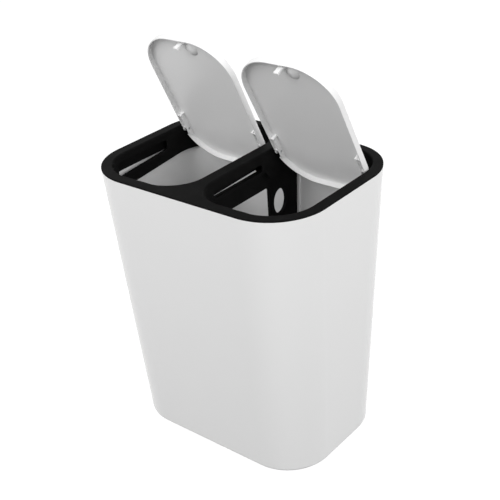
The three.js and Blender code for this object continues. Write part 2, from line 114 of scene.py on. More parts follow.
ROOTED = 0.5 * MM  # how far a rib reaches into the panel that carries it

# the push latches and the springs
LATCH_HALF, LATCH_ENDS, LATCH_DEPTHS = 12.6 * MM, (-129 * MM, -111.8 * MM), (12 * MM, 44 * MM)
LATCH_WALL, LATCH_SOLE = 2.2 * MM, 2 * MM
CLAW_GAP, CLAW_DEPTHS = 0.3 * MM, (15 * MM, 27 * MM)
CLAW_SLOT_HALF, CLAW_SLOT_DEPTH = 6.8 * MM, 22.2 * MM

# how finely curves are made
CORNER_SEGMENTS = 22
EDGE_SEGMENTS = 3
KNOB_SEGMENTS = 4
LID_EDGE_SEGMENTS = 5
MOUTH_SEGMENTS = 6
WELL_SEGMENTS = 6
FOOT_SEGMENTS = 8
ROUND_SEGMENTS = 32
CREASE = math.radians(32)
BEYOND = 1 * MM  # how far a cut runs past what it cuts
TRIM_BELOW = 5 * MM  # how far the skirts' trimming runs under them
MERGE_DISTANCE = 0.001 * MM
MATCHING_LIFT = Vector((0, 0, 2))

# the viewpoint: its place, then degrees round from the front, above the horizon and of tilt
CAMERA_PLACE = Vector((0.917178, -1.054885, 1.060041))
CAMERA_AZIMUTH, CAMERA_ELEVATION, CAMERA_ROLL = (math.radians(a) for a in (40.765, 28.356, -4.124))
CAMERA_LENS, CAMERA_SENSOR = 72.43, 36
CAMERA_RANGE = (0.01, 100)

# the lamps and the floor
SIDE_LAMP, FRONT_LAMP, LAMP_TARGET = (2.3, -0.2, 1.6), (-0.5, -1.9, 1.8), (0, 0, 0.4)
LAMP_SIZE = 1.6
FLOOR_DROP = 0.2 * MM
FLOOR_GLOW, FLOOR_SHADOW = 0.86, 0.26  # plain white, and the share of it that a shadow takes

# the scuffs: how far their noise is stretched and turned, and which of its peaks show
SCUFF_RUNS = (((0.04, 1, 1), 0.2), ((1, 1, 0.05), 0.1))
SCUFF_PEAKS = (0.66, 0.74)


# ---------------------------------------------------------------- what a user would change

class BinSizes(PropertyGroup):
    wall: FloatProperty(
        name="Wall", description="Thickness of the bin's wall", default=2.6 * MM,
        unit="LENGTH", subtype="DISTANCE", precision=4)
    floor: FloatProperty(
        name="Floor", description="Thickness of the bin's floor", default=3.2 * MM,
        unit="LENGTH", subtype="DISTANCE", precision=4)
    base_fillet: FloatProperty(
        name="Base fillet", description="Radius where the sides meet the underside",
        default=6.3 * MM, unit="LENGTH", subtype="DISTANCE", precision=4)
    lip_edge: FloatProperty(
        name="Lip edge", description="Rounding along the bin's upper lip", default=0.9 * MM,
        unit="LENGTH", subtype="DISTANCE", precision=4)
    rim_plate: FloatProperty(
        name="Rim plate", description="Thickness of the rim frame's plate", default=3 * MM,
        unit="LENGTH", subtype="DISTANCE", precision=4)
    rim_edge: FloatProperty(
        name="Rim edge", description="Rounding along the rim frame's outside", default=0.8 * MM,
        unit="LENGTH", subtype="DISTANCE", precision=4)
    mouth_edge: FloatProperty(
        name="Mouth edge", description="Rounding from the rim's top into each mouth",
        default=2.6 * MM, unit="LENGTH", subtype="DISTANCE", precision=4)
    lid_edge: FloatProperty(
        name="Lid edge", description="Rounding along each lid's upper edge", default=1.4 * MM,
        unit="LENGTH", subtype="DISTANCE", precision=4)
    lid_lip: FloatProperty(
        name="Lid lip", description="Rounding along each lid's lower lip", default=0.5 * MM,
        unit="LENGTH", subtype="DISTANCE", precision=4)
    small_edge: FloatProperty(
        name="Small edges", description="Rounding on ribs, clips, latches and the divider",
        default=0.4 * MM, unit="LENGTH", subtype="DISTANCE", precision=4)


class BinColours(PropertyGroup):
    body: FloatVectorProperty(
        name="Bin", description="Glossy white of the outer bin", subtype="COLOR",
        default=(0.84, 0.84, 0.84), min=0, max=1)
    lid: FloatVectorProperty(
        name="Lids", description="White of the lids", subtype="COLOR",
        default=(0.86, 0.86, 0.86), min=0, max=1)
    rim: FloatVectorProperty(
        name="Rim and divider", description="Black of the rim frame and the divider",
        subtype="COLOR", default=(0.008, 0.008, 0.008), min=0, max=1)
    latch: FloatVectorProperty(
        name="Latch claws", description="Natural plastic of the latch claws", subtype="COLOR",
        default=(0.66, 0.66, 0.63), min=0, max=1)
    steel: FloatVectorProperty(
        name="Steel", description="Pins, shafts and springs", subtype="COLOR",
        default=(0.55, 0.56, 0.57), min=0, max=1)


class BinStage(PropertyGroup):
    floor_size: FloatProperty(
        name="Floor", description="Width of the floor", default=12,
        unit="LENGTH", subtype="DISTANCE")
    ambient: FloatProperty(
        name="Room light", description="Level of the even light from all round", default=0.65,
        min=0)
    side_power: FloatProperty(
        name="Side softbox", description="Power of the softbox on the right", default=35,
        unit="POWER", subtype="POWER")
    front_power: FloatProperty(
        name="Front softbox", description="Power of the softbox in front, on the left", default=31,
        unit="POWER", subtype="POWER")
    floor_bounce: FloatProperty(
        name="Floor bounce", description="Share of light that the floor sends back up",
        default=0.16, min=0, max=1)


# ---------------------------------------------------------------- shaping helpers

def z_at(depth):
    """The height of a level measured down from the rim's top."""
    return HEIGHT - depth


def span(side, *distances):
    """Distances from the middle on one side, as a low and a high X."""
    return sorted(side * distance for distance in distances)


def newest_face(bm, known):
    """The face that was made since the known ones."""
    return next(face for face in bm.faces if face not in known)


def round_corners(bm, corners, radius):
    """Rounds the corners of a flat face."""
    bmesh.ops.bevel(
        bm, geom=corners, offset=radius, offset_type="OFFSET", segments=CORNER_SEGMENTS,
        profile=0.5, affect="VERTICES", material=-1)


def soften(bm, edges, radius, segments=EDGE_SEGMENTS):
    """Rounds edges over."""
    bmesh.ops.bevel(
        bm, geom=edges, offset=radius, offset_type="OFFSET", segments=segments,
        profile=0.5, affect="EDGES", material=-1, clamp_overlap=True)


def rounded_loop(bm, xs, ys, z, left_radius, right_radius=None):
    """A loop of edges round a rectangle whose corners are rounded."""
    known = set(bm.faces)
    corners = [bm.verts.new((x, y, z)) for x, y in
               ((xs[0], ys[0]), (xs[1], ys[0]), (xs[1], ys[1]), (xs[0], ys[1]))]
    bm.faces.new(corners)
    round_corners(bm, [corners[0], corners[3]], left_radius)
    round_corners(bm, [corners[1], corners[2]], right_radius or left_radius)
    outline = newest_face(bm, known)
    edges = list(outline.edges)
    bmesh.ops.delete(bm, geom=[outline], context="FACES_ONLY")
    return edges


def skin(bm, *loops):
    """Walls from each loop of edges to the next, which is lifted while the two are matched."""
    for loop, following in zip(loops, loops[1:]):
        lifted = list({vert for edge in following for vert in edge.verts})
        bmesh.ops.translate(bm, verts=lifted, vec=MATCHING_LIFT)
        bmesh.ops.bridge_loops(bm, edges=loop + following)
        bmesh.ops.translate(bm, verts=lifted, vec=-MATCHING_LIFT)


def cap(bm, *loops):
    """Closes each loop of edges with one face."""
    for loop in loops:
        bmesh.ops.edgeloop_fill(bm, edges=loop)


def block(xs, ys, zs, radius=0):
    """A box, its edges rounded over by radius."""
    bm = bmesh.new()
    lows, highs = zip(*(sorted(pair) for pair in (xs, ys, zs)))
    size = [high - low for low, high in zip(lows, highs)]
    middle = [(high + low) / 2 for low, high in zip(lows, highs)]
    bmesh.ops.create_cube(
        bm, size=1, matrix=Matrix.Translation(middle) @ Matrix.Diagonal((*size, 1)))
    if radius:
        soften(bm, bm.edges[:], radius)
    return bm


def rod(xs, y, z, radius, edge=0):
    """A round bar along X."""
    bm = bmesh.new()
    turn = Matrix.Translation((sum(xs) / 2, y, z)) @ Matrix.Rotation(math.pi / 2, 4, "Y")
    bmesh.ops.create_cone(
        bm, cap_ends=True, segments=ROUND_SEGMENTS, radius1=radius, radius2=radius,
        depth=abs(xs[1] - xs[0]), matrix=turn)
    if edge:
        soften(bm, [e for e in bm.edges if any(len(f.verts) > 4 for f in e.link_faces)], edge)
    return bm


def slab(corners, along, radius=0):
    """A flat outline of a few corners, rounded by radius, carried along a vector."""
    bm = bmesh.new()
    points = [bm.verts.new(corner) for corner in corners]
    bm.faces.new(points)
    if radius:
        round_corners(bm, points, radius)
    made = bmesh.ops.extrude_face_region(bm, geom=bm.faces[:], use_keep_orig=True)
    bmesh.ops.translate(
        bm, verts=[item for item in made["geom"] if isinstance(item, bmesh.types.BMVert)],
        vec=along)
    bmesh.ops.recalc_face_normals(bm, faces=bm.faces)
    return bm


def across(profile, xs, radius=0):
    """A Y and depth outline carried along X."""
    low, high = sorted(xs)
    return slab([(low, y, z_at(depth)) for y, depth in profile], (high - low, 0, 0), radius)


def combine(bm, other, operation):
    """Adds or takes away one closed shape from another, and returns the result."""
    made = []
    for part in (bm, other):
        bmesh.ops.recalc_face_normals(part, faces=part.faces)
        mesh = bpy.data.meshes.new("shape")
        part.to_mesh(mesh)
        part.free()
        made.append(bpy.data.objects.new("shape", mesh))
        bpy.context.scene.collection.objects.link(made[-1])
    body, tool = made
    modifier = body.modifiers.new("combine", "BOOLEAN")
    modifier.operation, modifier.solver, modifier.object = operation, "MANIFOLD", tool
    bpy.context.view_layer.update()
    result = bmesh.new()
    result.from_object(body, bpy.context.evaluated_depsgraph_get())
    for obj in made:
        mesh = obj.data
        bpy.data.objects.remove(obj)
        bpy.data.meshes.remove(mesh)
    return result


def fuse(bm, *others):
    """Joins closed shapes into one."""
    for other in others:
        bm = combine(bm, other, "UNION")
    return bm


def cut(bm, *others):
    """Takes closed shapes out of one."""
    for other in others:
        bm = combine(bm, other, "DIFFERENCE")
    return bm


def dress(name, bm, material, body, slot, *nodes):
    """Makes the finished piece: evenly shaded, on its body, in place of its frame nodes."""
    if not bm.faces:
        raise RuntimeError(f"{name} came out empty")
    bmesh.ops.remove_doubles(bm, verts=bm.verts, dist=MERGE_DISTANCE)
    bmesh.ops.recalc_face_normals(bm, faces=bm.faces)
    for face in bm.faces:
        face.smooth = True
    for edge in bm.edges:
        edge.smooth = edge.calc_face_angle(0) < CREASE
    mesh = bpy.data.meshes.new(name)
    bm.to_mesh(mesh)
    bm.free()
    mesh.materials.append(material)
    piece = bpy.data.objects.new(name, mesh)
    bpy.context.scene.collection.objects.link(piece)
    even = piece.modifiers.new("even shading", "WEIGHTED_NORMAL")
    even.mode, even.keep_sharp = "FACE_AREA", True
    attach(piece, body)
    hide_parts(*nodes)
    return piece


# ---------------------------------------------------------------- finishes

def group_tree(name, inputs, outputs):
    """An empty node group with the named sockets: name, kind and default of each input."""
    tree = bpy.data.node_groups.new(name, "ShaderNodeTree")
    for label, kind, default in inputs:
        socket = tree.interface.new_socket(label, in_out="INPUT", socket_type=kind)
        socket.default_value = default
    for label, kind in outputs:
        tree.interface.new_socket(label, in_out="OUTPUT", socket_type=kind)
    return tree, tree.nodes.new("NodeGroupInput"), tree.nodes.new("NodeGroupOutput")


def moulded_skin():
    """Faint mottling, uneven gloss and the fine grain of a moulded surface."""
    found = bpy.data.node_groups.get("Moulded Skin")
    if found:
        return found
    tree, inlet, outlet = group_tree(
        "Moulded Skin",
        [("Colour", "NodeSocketColor", (0.8, 0.8, 0.8, 1)),
         ("Mottle", "NodeSocketColor", (0.7, 0.7, 0.7, 1)),
         ("Mottle Scale", "NodeSocketFloat", 6.0),
         ("Roughness", "NodeSocketFloat", 0.3),
         ("Gloss Spread", "NodeSocketFloat", 0.05),
         ("Grain Scale", "NodeSocketFloat", 900.0),
         ("Grain Strength", "NodeSocketFloat", 0.1),
         ("Grain Depth", "NodeSocketFloat", 0.0001)],
        [("Colour", "NodeSocketColor"), ("Roughness", "NodeSocketFloat"),
         ("Normal", "NodeSocketVector")])
    nodes, links = tree.nodes, tree.links
    place = nodes.new("ShaderNodeTexCoord").outputs["Object"]
    cloud = nodes.new("ShaderNodeTexNoise")
    cloud.inputs["Detail"].default_value = 3
    links.new(place, cloud.inputs["Vector"])
    links.new(inlet.outputs["Mottle Scale"], cloud.inputs["Scale"])
    blend = nodes.new("ShaderNodeMix")
    blend.data_type = "RGBA"
    links.new(cloud.outputs["Fac"], blend.inputs["Factor"])
    links.new(inlet.outputs["Colour"], blend.inputs["A"])
    links.new(inlet.outputs["Mottle"], blend.inputs["B"])
    links.new(blend.outputs["Result"], outlet.inputs["Colour"])
    spread = nodes.new("ShaderNodeMath")
    spread.operation = "MULTIPLY_ADD"
    links.new(cloud.outputs["Fac"], spread.inputs[0])
    links.new(inlet.outputs["Gloss Spread"], spread.inputs[1])
    links.new(inlet.outputs["Roughness"], spread.inputs[2])
    links.new(spread.outputs["Value"], outlet.inputs["Roughness"])
    grain = nodes.new("ShaderNodeTexNoise")
    grain.inputs["Detail"].default_value = 4
    links.new(place, grain.inputs["Vector"])
    links.new(inlet.outputs["Grain Scale"], grain.inputs["Scale"])
    bump = nodes.new("ShaderNodeBump")
    links.new(grain.outputs["Fac"], bump.inputs["Height"])
    links.new(inlet.outputs["Grain Strength"], bump.inputs["Strength"])
    links.new(inlet.outputs["Grain Depth"], bump.inputs["Distance"])
    links.new(bump.outputs["Normal"], outlet.inputs["Normal"])
    return tree


def fine_scratches():
    """A mask of short hairline scuffs that run along X and along Z."""
    found = bpy.data.node_groups.get("Fine Scratches")
    if found:
        return found
    tree, inlet, outlet = group_tree(
        "Fine Scratches",
        [("Scale", "NodeSocketFloat", 60.0), ("Amount", "NodeSocketFloat", 0.3)],
        [("Mask", "NodeSocketFloat")])
    nodes, links = tree.nodes, tree.links
    place = nodes.new("ShaderNodeTexCoord").outputs["Object"]
    masks = []
    for stretch, turn in SCUFF_RUNS:
        mapping = nodes.new("ShaderNodeMapping")
        mapping.inputs["Scale"].default_value = stretch
        mapping.inputs["Rotation"].default_value = (turn, turn, turn)
        links.new(place, mapping.inputs["Vector"])
        noise = nodes.new("ShaderNodeTexNoise")
        noise.inputs["Detail"].default_value = 2
        links.new(mapping.outputs["Vector"], noise.inputs["Vector"])
        links.new(inlet.outputs["Scale"], noise.inputs["Scale"])
        pick = nodes.new("ShaderNodeMapRange")
        pick.inputs["From Min"].default_value, pick.inputs["From Max"].default_value = SCUFF_PEAKS
        links.new(noise.outputs["Fac"], pick.inputs["Value"])
        masks.append(pick.outputs["Result"])
    either = nodes.new("ShaderNodeMath")
    either.operation = "MAXIMUM"
    links.new(masks[0], either.inputs[0])
    links.new(masks[1], either.inputs[1])
    amount = nodes.new("ShaderNodeMath")
    amount.operation = "MULTIPLY"
    links.new(either.outputs["Value"], amount.inputs[0])
    links.new(inlet.outputs["Amount"], amount.inputs[1])
    links.new(amount.outputs["Value"], outlet.inputs["Mask"])
    return tree


def finish(name, colour, mottle, skin_values, scratch_values, shader_values):
    """A material: a moulded or drawn skin, faint scratches in its gloss, and its shader."""
    found = bpy.data.materials.get(name)
    if found:
        return found
    material = bpy.data.materials.new(name)
    material.use_nodes = True
    nodes, links = material.node_tree.nodes, material.node_tree.links
    shader = nodes["Principled BSDF"]
    surface = nodes.new("ShaderNodeGroup")
    surface.node_tree = moulded_skin()
    surface.inputs["Colour"].default_value = (*colour, 1)
    surface.inputs["Mottle"].default_value = (*(channel * mottle for channel in colour), 1)
    for label, value in skin_values.items():
        surface.inputs[label].default_value = value
    scuffs = nodes.new("ShaderNodeGroup")
    scuffs.node_tree = fine_scratches()
    for label, value in scratch_values.items():
        scuffs.inputs[label].default_value = value
    total = nodes.new("ShaderNodeMath")
    links.new(surface.outputs["Roughness"], total.inputs[0])
    links.new(scuffs.outputs["Mask"], total.inputs[1])
    links.new(total.outputs["Value"], shader.inputs["Roughness"])
    links.new(surface.outputs["Colour"], shader.inputs["Base Color"])
    links.new(surface.outputs["Normal"], shader.inputs["Normal"])
    for label, value in shader_values.items():
        shader.inputs[label].default_value = value
    return material


def gloss_white():
    return finish(
        "gloss white plastic", bpy.context.scene.bin_colours.body, 0.975,
        {"Mottle Scale": 5, "Roughness": 0.2, "Gloss Spread": 0.06, "Grain Scale": 260,
         "Grain Strength": 0.12, "Grain Depth": 0.02 * MM},
        {"Scale": 90, "Amount": 0.015}, {"Specular IOR Level": 0.5})


def lid_white():
    return finish(
        "lid white plastic", bpy.context.scene.bin_colours.lid, 0.975,
        {"Mottle Scale": 12, "Roughness": 0.3, "Gloss Spread": 0.08, "Grain Scale": 600,
         "Grain Strength": 0.15, "Grain Depth": 0.02 * MM},
        {"Scale": 120, "Amount": 0.015}, {"Specular IOR Level": 0.45})


def satin_black():
    return finish(
        "satin black plastic", bpy.context.scene.bin_colours.rim, 0.6,
        {"Mottle Scale": 40, "Roughness": 0.5, "Gloss Spread": 0.12, "Grain Scale": 1500,
         "Grain Strength": 0.35, "Grain Depth": 0.05 * MM},
        {"Scale": 160, "Amount": 0.03}, {"Specular IOR Level": 0.02})


def natural_plastic():
    return finish(
        "natural latch plastic", bpy.context.scene.bin_colours.latch, 0.94,
        {"Mottle Scale": 90, "Roughness": 0.42, "Gloss Spread": 0.1, "Grain Scale": 1800,
         "Grain Strength": 0.2, "Grain Depth": 0.03 * MM},
        {"Scale": 300, "Amount": 0.06}, {"Specular IOR Level": 0.4})


def drawn_steel():
    return finish(
        "drawn steel", bpy.context.scene.bin_colours.steel, 0.8,
        {"Mottle Scale": 300, "Roughness": 0.28, "Gloss Spread": 0.12, "Grain Scale": 4000,
         "Grain Strength": 0.2, "Grain Depth": 0.02 * MM},
        {"Scale": 500, "Amount": 0.15}, {"Metallic": 1})


# ---------------------------------------------------------------- the bin and its divider

def bin_loop(bm, z, inset):
    """The bin's outline at a height, drawn in by inset."""
    share = z / HEIGHT
    width, depth, radius = (
        low + (high - low) * share for low, high in zip(BASE_OUTLINE, TOP_OUTLINE))
    half_x, half_y = width / 2 - inset, depth / 2 - inset
    return rounded_loop(bm, (-half_x, half_x), (-half_y, half_y), z, radius - inset)


def inner_wall_y(z, wall):
    """Half the depth inside the bin at a height."""
    share = z / HEIGHT
    return (BASE_OUTLINE[1] + (TOP_OUTLINE[1] - BASE_OUTLINE[1]) * share) / 2 - wall


def outer_bin_moulding(sizes):
    """The tapered outer bin, its foot ring and the four rails inside."""
    bm = bmesh.new()
    foot, outside = bin_loop(bm, 0, 0), bin_loop(bm, BIN_TOP, 0)
    inside, well = bin_loop(bm, BIN_TOP, sizes.wall), bin_loop(bm, sizes.floor, sizes.wall)
    skin(bm, foot, outside, inside, well)
    cap(bm, foot, well)
    soften(bm, well, sizes.base_fillet, WELL_SEGMENTS)
    soften(bm, outside + inside, sizes.lip_edge)
    soften(bm, foot, sizes.base_fillet, FOOT_SEGMENTS)
    underside = min((face for face in bm.faces if len(face.verts) > 4),
                    key=lambda face: face.calc_center_median().z)
    bmesh.ops.inset_region(bm, faces=[underside], thickness=FOOT_RING - sizes.base_fillet)
    bmesh.ops.inset_region(bm, faces=[underside], thickness=FOOT_SLOPE)
    bmesh.ops.translate(bm, verts=underside.verts[:], vec=(0, 0, FOOT_RECESS))
    for end in (-1, 1):
        for side in (-1, 1):
            low, high = sizes.floor - ROOTED, z_at(RAIL_TOP)
            xs = span(side, PANEL_HALF + RAIL_GAP, PANEL_HALF + RAIL_GAP + RAIL)
            profile = [(end * (inner_wall_y(low, sizes.wall) - RAIL_DEPTH), HEIGHT - low),
                       (end * (inner_wall_y(low, sizes.wall) + BEYOND), HEIGHT - low),
                       (end * (inner_wall_y(high, sizes.wall) + BEYOND), HEIGHT - high),
                       (end * (inner_wall_y(high, sizes.wall) - RAIL_DEPTH), HEIGHT - high)]
            bm = fuse(bm, across(profile, xs))
    return bm


def divider_moulding(sizes):
    """The divider: a flat panel with a neck, a large window and two oval hand holes."""
    def edge(z):
        """Half the panel's depth at a height."""
        return inner_wall_y(z, sizes.wall) - PANEL_CLEARANCE
    foot, shoulder = PANEL_FLOOR, z_at(PANEL_SHOULDER)
    half = [(edge(foot) - PANEL_CHAMFER, foot), (edge(foot + PANEL_CHAMFER), foot + PANEL_CHAMFER),
            (edge(shoulder), shoulder), (PANEL_NECK, shoulder), (PANEL_NECK, z_at(PANEL_TOP))]
    outline = half + [(-y, z) for y, z in reversed(half)]
    xs = (-PANEL_HALF, PANEL_HALF)
    panel = across([(y, HEIGHT - z) for y, z in outline], xs)
    past = (xs[0] - BEYOND, xs[1] + BEYOND)
    window = across(
        [(-WINDOW_HALF, HEIGHT - WINDOW_FLOOR), (WINDOW_HALF, HEIGHT - WINDOW_FLOOR),
         (WINDOW_HALF, WINDOW_TOP), (-WINDOW_HALF, WINDOW_TOP)], past, WINDOW_RADIUS)
    panel = cut(panel, window)
    for end in (-1, 1):
        hole = rod(past, 0, 0, 1)
        bmesh.ops.scale(hole, verts=hole.verts, vec=(1, *HAND_HOLE))
        bmesh.ops.translate(
            hole, verts=hole.verts, vec=(0, end * HAND_HOLE_Y, z_at(HAND_HOLE_DEPTH)))
        panel = cut(panel, hole)
    return panel


# ---------------------------------------------------------------- the rim frame

def mouth_loop(bm, side, grow, z):
    """The outline of one mouth, grown outwards by grow."""
    radii = (MOUTH_OUTER_RADIUS + grow, MOUTH_INNER_RADIUS + grow)
    low, high = span(side, MOUTH_INNER, MOUTH_OUTER)
    return rounded_loop(
        bm, (low - grow, high + grow), (MOUTH_FRONT - grow, MOUTH_REAR + grow), z,
        *(radii if side < 0 else reversed(radii)))


def plate_loop(bm, z):
    """The plate's outline, straight sided, at a height."""
    half_x, half_y = TOP_OUTLINE[0] / 2, TOP_OUTLINE[1] / 2
    return rounded_loop(bm, (-half_x, half_x), (-half_y, half_y), z, TOP_OUTLINE[2])


def mouth_plug(side, edge):
    """What is taken out of the plate for one mouth: straight below, flared at the top."""
    bm = bmesh.new()
    loops = [mouth_loop(bm, side, 0, z_at(SKIRT_DEEPEST + BEYOND))]
    for step in range(MOUTH_SEGMENTS + 1):
        turn = step / MOUTH_SEGMENTS * math.pi / 2
        loops.append(mouth_loop(
            bm, side, edge * (1 - math.cos(turn)), z_at(edge * (1 - math.sin(turn)))))
    loops.append(mouth_loop(bm, side, edge, HEIGHT + BEYOND))
    skin(bm, *loops)
    cap(bm, loops[0], loops[-1])
    return bm


def rim_frame_moulding(sizes):
    """The black frame: plate, outer flange, two skirts, their slots and the pin holes."""
    plate_under = z_at(sizes.rim_plate)
    bm = bmesh.new()
    under, top = plate_loop(bm, plate_under), plate_loop(bm, HEIGHT)
    skin(bm, under, top)
    cap(bm, under, top)
    soften(bm, top, sizes.rim_edge)
    soften(bm, under, sizes.small_edge)
    band = bmesh.new()
    low, high = z_at(FLANGE_DEPTH), plate_under + BEYOND
    inner = FLANGE_INSET + FLANGE
    loops = [bin_loop(band, z, inset) for z, inset in
             ((low, FLANGE_INSET), (high, FLANGE_INSET), (high, inner), (low, inner))]
    skin(band, *loops, loops[0])
    bm = fuse(bm, band)
    for side in SIDES.values():
        skirt = bmesh.new()
        low = z_at(SKIRT_DEEPEST)
        outer = [mouth_loop(skirt, side, SKIRT, z) for z in (low, high)]
        skin(skirt, *outer)
        cap(skirt, *outer)
        bm = fuse(bm, skirt)
    for side in SIDES.values():
        bm = cut(bm, mouth_plug(side, sizes.mouth_edge))
    reach = TOP_OUTLINE[1] / 2
    below = SKIRT_DEEPEST + TRIM_BELOW
    width = TOP_OUTLINE[0] / 2
    trim = across(
        [(-reach, below), (reach, below), (reach, SKIRT_DEPTH), (SKIRT_RAMP[2], SKIRT_DEPTH),
         (SKIRT_RAMP[1], SKIRT_DEEPEST), (SKIRT_RAMP[0], SKIRT_DEPTH), (-reach, SKIRT_DEPTH)],
        (-width, width))
    level = block((-SKIRT_INBOARD, SKIRT_INBOARD), (-reach, reach), (z_at(below), z_at(SKIRT_DEPTH)))
    front, start, end, rear = SHALLOW_RAMP
    high = across([(front, below), (rear, below), (rear, SKIRT_DEPTH), (end, SHALLOW_DEPTHS[1]),
                   (start, SHALLOW_DEPTHS[0]), (front, SKIRT_DEPTH)],
                  (-MOUTH_INNER - SLOT_REACH, MOUTH_INNER + SLOT_REACH))
    bm = cut(bm, trim, level, high)
    for side in SIDES.values():
        outer = span(side, MOUTH_OUTER - SLOT_REACH, MOUTH_OUTER + SKIRT + SLOT_PAST)
        inner = span(side, MOUTH_INNER - SKIRT - SLOT_PAST, MOUTH_INNER + SLOT_REACH)
        for xs, slot in ((outer, OUTER_SLOT), (inner, INNER_SLOT)):
            bm = cut(bm, across(slot, xs, SLOT_RADIUS), rod(xs, HINGE_Y, HINGE_Z, PIN_HOLE))
    return bm


# ---------------------------------------------------------------- the lids

def lid_loop(bm, inset, depth):
    """The lid's outline at a depth, drawn in by inset."""
    return rounded_loop(
        bm, (inset - LID_HALF, LID_HALF - inset), (LID_FRONT + inset, LID_REAR - inset),
        z_at(depth), LID_RADIUS - inset)


def clip_ring(xs):
    """The open clip that snaps over a hinge pin: most of a ring, spun round the pin."""
    bm = bmesh.new()
    facing = math.radians(JOINTS["left_lid_hinge"]["range_deg"][1] - 90)
    corners = [bm.verts.new((x, HINGE_Y + r, HINGE_Z)) for x, r in
               ((xs[0], CLIP_BORE), (xs[1], CLIP_BORE), (xs[1], CLIP_RADIUS), (xs[0], CLIP_RADIUS))]
    section = bm.faces.new(corners)
    centre = (0, HINGE_Y, HINGE_Z)
    bmesh.ops.rotate(
        bm, verts=corners, cent=centre,
        matrix=Matrix.Rotation(facing + CLIP_MOUTH / 2, 3, "X"))
    edges = section.edges[:]
    bmesh.ops.delete(bm, geom=[section], context="FACES_ONLY")
    bmesh.ops.spin(
        bm, geom=corners + edges, cent=centre, axis=(1, 0, 0),
        angle=2 * math.pi - CLIP_MOUTH, steps=ROUND_SEGMENTS, use_merge=False)
    bmesh.ops.holes_fill(bm, edges=bm.edges, sides=4)
    return bm


def ball_cap(radius, depth, x, y, z):
    """The part of a ball that hangs below a level, its lowest point depth under it."""
    bm = bmesh.new()
    bmesh.ops.create_uvsphere(
        bm, u_segments=2 * ROUND_SEGMENTS, v_segments=2 * ROUND_SEGMENTS, radius=radius,
        matrix=Matrix.Translation((x, y, z - depth + radius)))
    made = bmesh.ops.bisect_plane(
        bm, geom=bm.verts[:] + bm.edges[:] + bm.faces[:], plane_co=(x, y, z),
        plane_no=(0, 0, 1), clear_outer=True)
    edge = [item for item in made["geom_cut"] if isinstance(item, bmesh.types.BMEdge)]
    cap(bm, edge)
    return bm


def hinge_bracket(xs, panel):
    """The rib beside a hinge, rounded at its lower rear corner, and the knob at its front end."""
    front, rear = BRACKET_ENDS
    step = BRACKET_STEP * BRACKET_ROUND
    rib = across(
        [(front, LID_DEPTH), (rear - BRACKET_ROUND, LID_DEPTH), (rear - step, LID_DEPTH - step),
         (rear, LID_DEPTH - BRACKET_ROUND), (rear, LID_PANEL - ROOTED),
         (front, LID_PANEL - ROOTED)], xs)
    rib = cut(rib, rod((xs[0] - BEYOND, xs[1] + BEYOND), HINGE_Y, HINGE_Z, CLIP_BORE))
    knob = bmesh.new()
    low, high = z_at(LID_DEPTH + KNOB_DROP), panel + ROOTED
    bmesh.ops.create_cone(
        knob, cap_ends=True, segments=ROUND_SEGMENTS, radius1=KNOB, radius2=KNOB,
        depth=high - low, matrix=Matrix.Translation((sum(xs) / 2, front, (low + high) / 2)))
    soften(knob, [e for e in knob.edges if all(v.co.z < low + BEYOND for v in e.verts)],
           KNOB_EDGE, KNOB_SEGMENTS)
    return rib, knob


def lid_moulding(sizes):
    """One lid, shut, about X 0: tray, clips, brackets, latch post and finger dimple."""
    bm = bmesh.new()
    top, lip = lid_loop(bm, 0, 0), lid_loop(bm, 0, LID_DEPTH)
    inner_lip, root = lid_loop(bm, LID_WALL, LID_DEPTH), lid_loop(bm, LID_WALL, LID_PANEL)
    skin(bm, top, lip, inner_lip, root)
    cap(bm, top, root)
    soften(bm, root, sizes.lid_lip)
    soften(bm, lip + inner_lip, sizes.lid_lip)
    soften(bm, top, sizes.lid_edge, LID_EDGE_SEGMENTS)
    panel, lip_z = z_at(LID_PANEL), z_at(LID_DEPTH)
    for side in (-1, 1):
        bm = cut(bm, block(span(side, LID_HALF - NOTCH_INSET, LID_HALF + BEYOND), NOTCH,
                           (lip_z - BEYOND, panel)))
        bm = fuse(bm, *hinge_bracket(span(side, *BRACKET), panel))
        ends = (SLIT_ENDS[0] - SLIT_WALL, SLIT_ENDS[1] + SLIT_WALL)
        bm = fuse(bm, block(span(side, SLIT[0] - BEYOND, SLIT[1] + BEYOND), ends,
                            (lip_z + sizes.lid_lip, panel + ROOTED)))
        bm = cut(bm, block(span(side, *SLIT), SLIT_ENDS, (lip_z - BEYOND, HEIGHT + BEYOND)))
        xs = span(side, *CLIP)
        web = block(xs, (HINGE_Y - CLIP_RADIUS - CLIP_WEB, HINGE_Y),
                    (HINGE_Z - CLIP_RADIUS + BEYOND, panel + ROOTED))
        past = (xs[0] - BEYOND, xs[1] + BEYOND)
        web = cut(web, rod(past, HINGE_Y, HINGE_Z, CLIP_BORE))
        bm = fuse(bm, web, clip_ring(xs))
    bm = fuse(bm, *latch_post(sizes, panel))
    ball = (DIMPLE_RADIUS ** 2 + DIMPLE_DEPTH ** 2) / (2 * DIMPLE_DEPTH)
    bm = fuse(bm, ball_cap(ball, DIMPLE_DEPTH + ROOTED, DIMPLE_X, DIMPLE_Y, panel + ROOTED))
    hollow = DIMPLE_DEPTH - DIMPLE_SKIN + LID_PANEL + BEYOND
    return cut(bm, ball_cap(ball, hollow, DIMPLE_X, DIMPLE_Y, HEIGHT + BEYOND))


